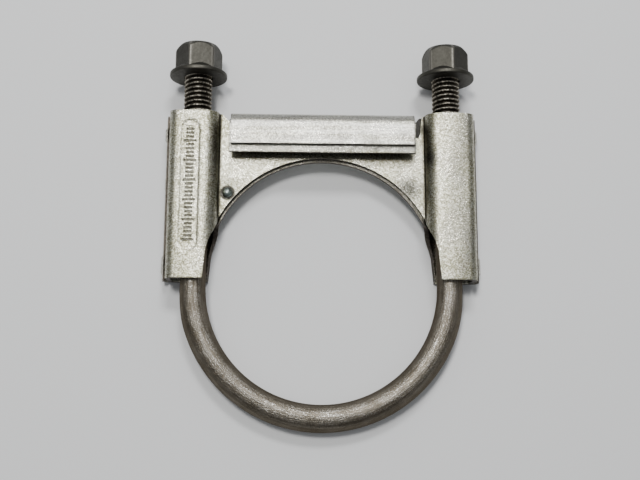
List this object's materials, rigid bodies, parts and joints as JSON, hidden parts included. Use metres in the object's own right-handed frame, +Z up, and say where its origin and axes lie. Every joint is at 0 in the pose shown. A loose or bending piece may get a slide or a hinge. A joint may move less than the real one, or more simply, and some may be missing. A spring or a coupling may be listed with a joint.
{
  "type": "u-bolt pipe clamp",
  "caption": "Exhaust-style U-bolt clamp: a threaded U-bolt, a stamped two-shell saddle that slides on its legs, and a flange nut that screws down each leg.",
  "frame": {"origin": "under the middle of the whole clamp, on the surface it lies on, with the nuts as far up the legs as in the rest pose", "axes": "+X from the left leg to the right leg, +Y along the legs from the bend to the nuts, +Z up, out of the stamped front of the saddle"},
  "size_m": [0.109, 0.1312, 0.0198],
  "materials": {
    "rod_steel": "drawn steel rod with a dull brown-grey oxide and bright rubbed streaks along it; dark rolled threads with bright crests",
    "saddle_front_steel": "thin silvery plating with a warm tint over grainy stamped sheet",
    "saddle_back_steel": "silvery plated sheet, brighter on the folded edge and brown at the cut edges",
    "rivet_steel": "small domed steel head in a dark ring",
    "nut_steel": "dark olive-grey oxide or phosphate, satin"
  },
  "bodies": {
    "u_bolt": {"u_bolt": "rod_steel"},
    "saddle": {"saddle_front": "saddle_front_steel", "saddle_back": "saddle_back_steel", "web_rivet": "rivet_steel"},
    "nut_left_flange": {"nut_left_flange": "nut_steel"},
    "nut_left": {"nut_left": "nut_steel"},
    "nut_right_flange": {"nut_right_flange": "nut_steel"},
    "nut_right": {"nut_right": "nut_steel"}
  },
  "joints": [
    {"name": "saddle_slide", "type": "slide", "parent": "u_bolt", "child": "saddle", "axis": [0, 1, 0], "range_m": [-0.005, 0]},
    {"name": "nut_left_travel", "type": "slide", "parent": "u_bolt", "child": "nut_left_flange", "axis": [0, 1, 0], "range_m": [-0.0131, 0.00875]},
    {"name": "nut_left_turn", "type": "hinge", "parent": "nut_left_flange", "child": "nut_left", "pos_m": [-0.043, 0.06, 0.0099], "axis": [0, 1, 0], "range_deg": [-2970, 1980]},
    {"name": "nut_right_travel", "type": "slide", "parent": "u_bolt", "child": "nut_right_flange", "axis": [0, 1, 0], "range_m": [-0.0131, 0.00875]},
    {"name": "nut_right_turn", "type": "hinge", "parent": "nut_right_flange", "child": "nut_right", "pos_m": [0.043, 0.06, 0.0099], "axis": [0, 1, 0], "range_deg": [-2970, 1980]}
  ],
  "couplings": [
    {"joint": "nut_left_travel", "follows": "nut_left_turn", "m_per_rad": 0.00025266},
    {"joint": "nut_right_travel", "follows": "nut_right_turn", "m_per_rad": 0.00025266}
  ]
}
